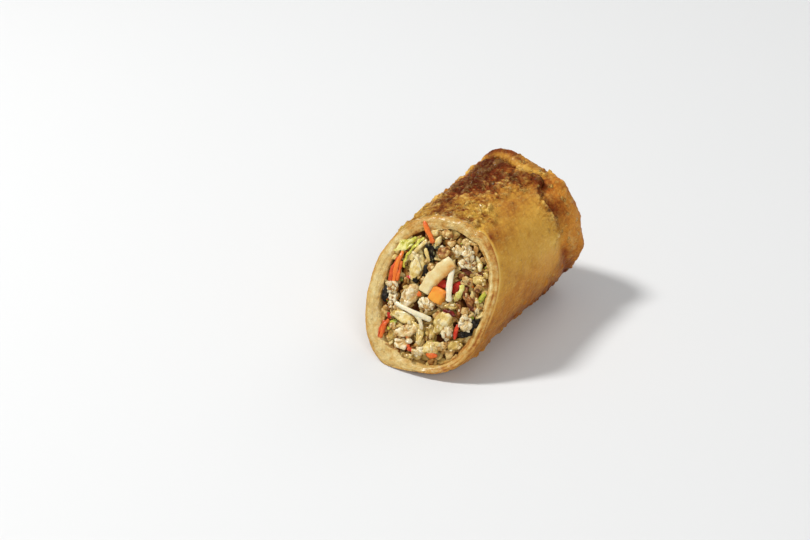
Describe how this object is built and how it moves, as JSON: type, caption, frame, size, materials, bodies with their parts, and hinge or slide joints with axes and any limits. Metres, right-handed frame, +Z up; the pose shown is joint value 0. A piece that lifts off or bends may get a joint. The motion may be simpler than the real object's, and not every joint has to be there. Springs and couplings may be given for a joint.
{
  "type": "fried spring roll half",
  "caption": "Half of a fried spring roll, cut on a slant to show its chicken and vegetable filling, resting on its underside",
  "frame": {"origin": "middle of the underside of the box round the whole half", "axes": "+Z up from the surface it rests on, +Y along the roll from the cut towards the folded end, +X to the right when facing the cut from the front"},
  "size_m": [0.0448, 0.0786, 0.0442],
  "materials": {
    "fried_dough": "fried wheat dough, golden tan with brown blisters and darker folds, pale cream where it is cut",
    "chopped_filling": "moist chopped filling: cream chicken and cabbage, bean sprouts, orange carrot, dark wood ear"
  },
  "bodies": {
    "root": {"wrapper": "fried_dough", "filling": "chopped_filling"}
  },
  "joints": []
}
